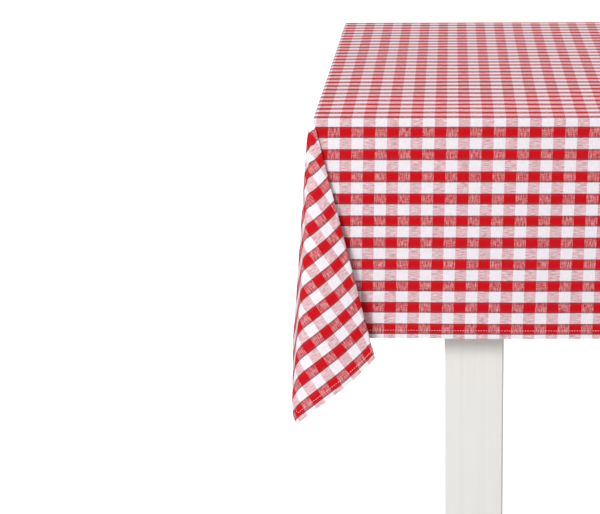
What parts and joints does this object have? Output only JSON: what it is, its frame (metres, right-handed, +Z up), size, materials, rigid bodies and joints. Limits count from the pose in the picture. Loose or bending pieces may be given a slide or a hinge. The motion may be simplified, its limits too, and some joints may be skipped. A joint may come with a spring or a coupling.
{
  "type": "tablecloth on a table",
  "caption": "Rectangular wooden table covered by a woven gingham cloth whose corners hang in folded flaps; the cloth lifts off the top.",
  "frame": {"origin": "on the floor, under the centre of the table", "axes": "+X along the table's length, -Y to the front, +Z up"},
  "size_m": [1.262, 0.7993, 0.7513],
  "materials": {
    "gingham_cotton": "woven red and white check, matt",
    "white_painted_wood": "white paint, satin, faint upright grain",
    "pine": "planed, bare",
    "beech": "planed, bare",
    "zinc_plated_steel": "zinc plated",
    "nylon": "moulded, matt"
  },
  "bodies": {
    "table": {"apron_front": "white_painted_wood", "apron_left": "white_painted_wood", "apron_rear": "white_painted_wood", "apron_right": "white_painted_wood", "block_screw_front_left_end": "zinc_plated_steel", "block_screw_front_left_long": "zinc_plated_steel", "block_screw_front_right_end": "zinc_plated_steel", "block_screw_front_right_long": "zinc_plated_steel", "block_screw_rear_left_end": "zinc_plated_steel", "block_screw_rear_left_long": "zinc_plated_steel", "block_screw_rear_right_end": "zinc_plated_steel", "block_screw_rear_right_long": "zinc_plated_steel", "button_screw_end_left": "zinc_plated_steel", "button_screw_end_right": "zinc_plated_steel", "button_screw_front_left": "zinc_plated_steel", "button_screw_front_right": "zinc_plated_steel", "button_screw_rear_left": "zinc_plated_steel", "button_screw_rear_right": "zinc_plated_steel", "corner_block_front_left": "pine", "corner_block_front_right": "pine", "corner_block_rear_left": "pine", "corner_block_rear_right": "pine", "cross_rail": "pine", "glide_front_left": "nylon", "glide_front_right": "nylon", "glide_nail_front_left": "zinc_plated_steel", "glide_nail_front_right": "zinc_plated_steel", "glide_nail_rear_left": "zinc_plated_steel", "glide_nail_rear_right": "zinc_plated_steel", "glide_rear_left": "nylon", "glide_rear_right": "nylon", "hanger_bolt_front_left": "zinc_plated_steel", "hanger_bolt_front_right": "zinc_plated_steel", "hanger_bolt_rear_left": "zinc_plated_steel", "hanger_bolt_rear_right": "zinc_plated_steel", "leg_front_left": "white_painted_wood", "leg_front_right": "white_painted_wood", "leg_rear_left": "white_painted_wood", "leg_rear_right": "white_painted_wood", "nut_front_left": "zinc_plated_steel", "nut_front_right": "zinc_plated_steel", "nut_rear_left": "zinc_plated_steel", "nut_rear_right": "zinc_plated_steel", "rail_screw_front_high": "zinc_plated_steel", "rail_screw_front_low": "zinc_plated_steel", "rail_screw_rear_high": "zinc_plated_steel", "rail_screw_rear_low": "zinc_plated_steel", "table_top": "white_painted_wood", "top_button_end_left": "beech", "top_button_end_right": "beech", "top_button_front_left": "beech", "top_button_front_right": "beech", "top_button_rear_left": "beech", "top_button_rear_right": "beech", "washer_front_left": "zinc_plated_steel", "washer_front_right": "zinc_plated_steel", "washer_rear_left": "zinc_plated_steel", "washer_rear_right": "zinc_plated_steel"},
    "cloth": {"tablecloth": "gingham_cotton"}
  },
  "joints": [
    {"name": "cloth_lift", "type": "slide", "parent": "table", "child": "cloth", "axis": [0, 0, 1], "range_m": [0, 0.4]}
  ]
}
